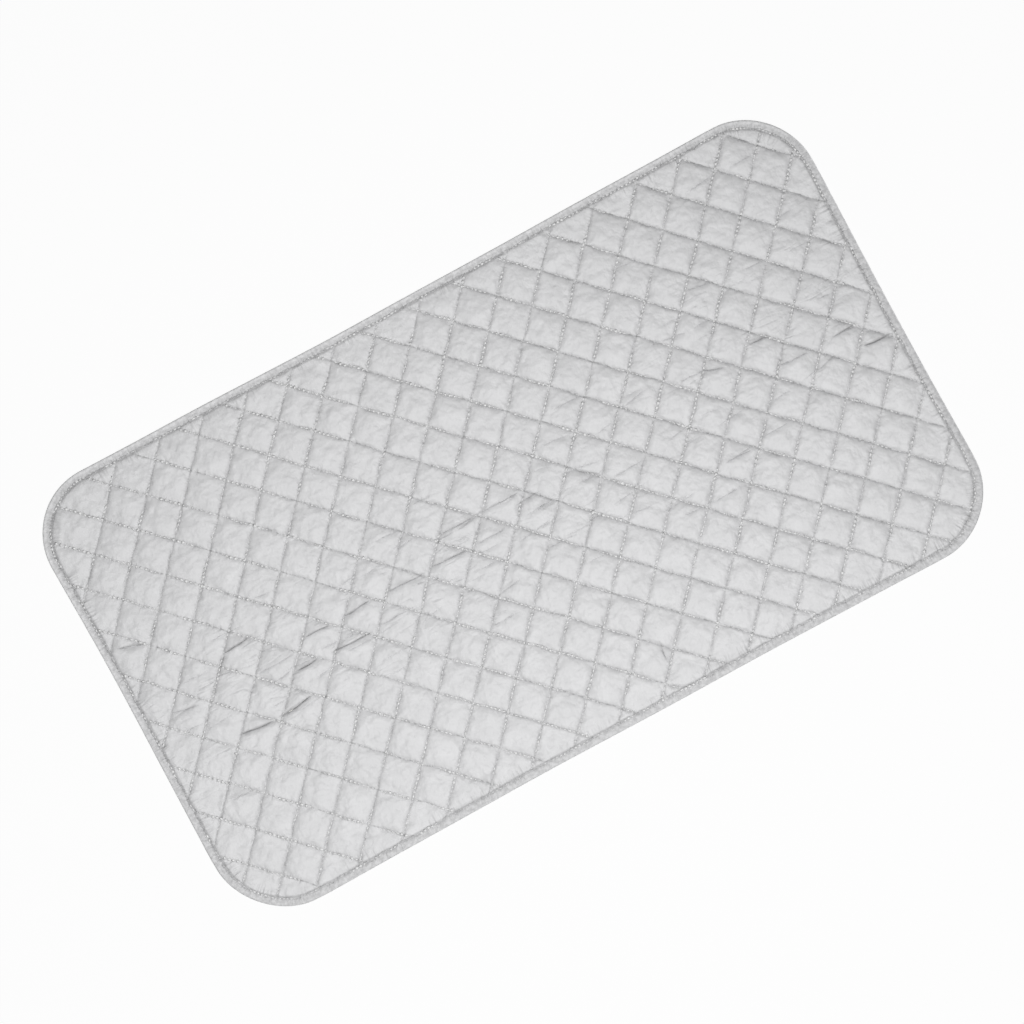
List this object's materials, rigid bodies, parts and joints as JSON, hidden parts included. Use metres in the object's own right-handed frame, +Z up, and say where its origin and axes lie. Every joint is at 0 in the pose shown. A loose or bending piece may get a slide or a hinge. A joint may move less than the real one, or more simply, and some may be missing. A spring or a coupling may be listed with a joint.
{
  "type": "ironing pad",
  "caption": "Quilted silver-faced ironing pad with rounded corners and a bound edge, laid on a table for ironing and folded in half for storage.",
  "frame": {"origin": "on the table under the centre of the pad", "axes": "+X along the long side, +Y from the front edge to the rear edge, +Z up out of the ironing face"},
  "size_m": [0.85, 0.48, 0.005],
  "materials": {
    "cover": "silver-coated woven cotton, satin",
    "wadding": "polyester batting, matt",
    "backing": "plain woven cloth, matt",
    "binding": "woven bias tape, matt",
    "thread": "spun polyester thread"
  },
  "bodies": {
    "rear_half": {"cover_rear": "cover", "wadding_rear": "wadding", "backing_rear": "backing", "binding_rear": "binding", "quilting_thread_rear": "thread", "binding_thread_rear": "thread"},
    "front_half": {"cover_front": "cover", "wadding_front": "wadding", "backing_front": "backing", "binding_front": "binding", "quilting_thread_front": "thread", "binding_thread_front": "thread"}
  },
  "joints": [
    {"name": "centre_fold", "type": "hinge", "parent": "rear_half", "child": "front_half", "pos_m": [0, 0, 0.0055], "axis": [-1, 0, 0], "range_deg": [0, 179]}
  ]
}
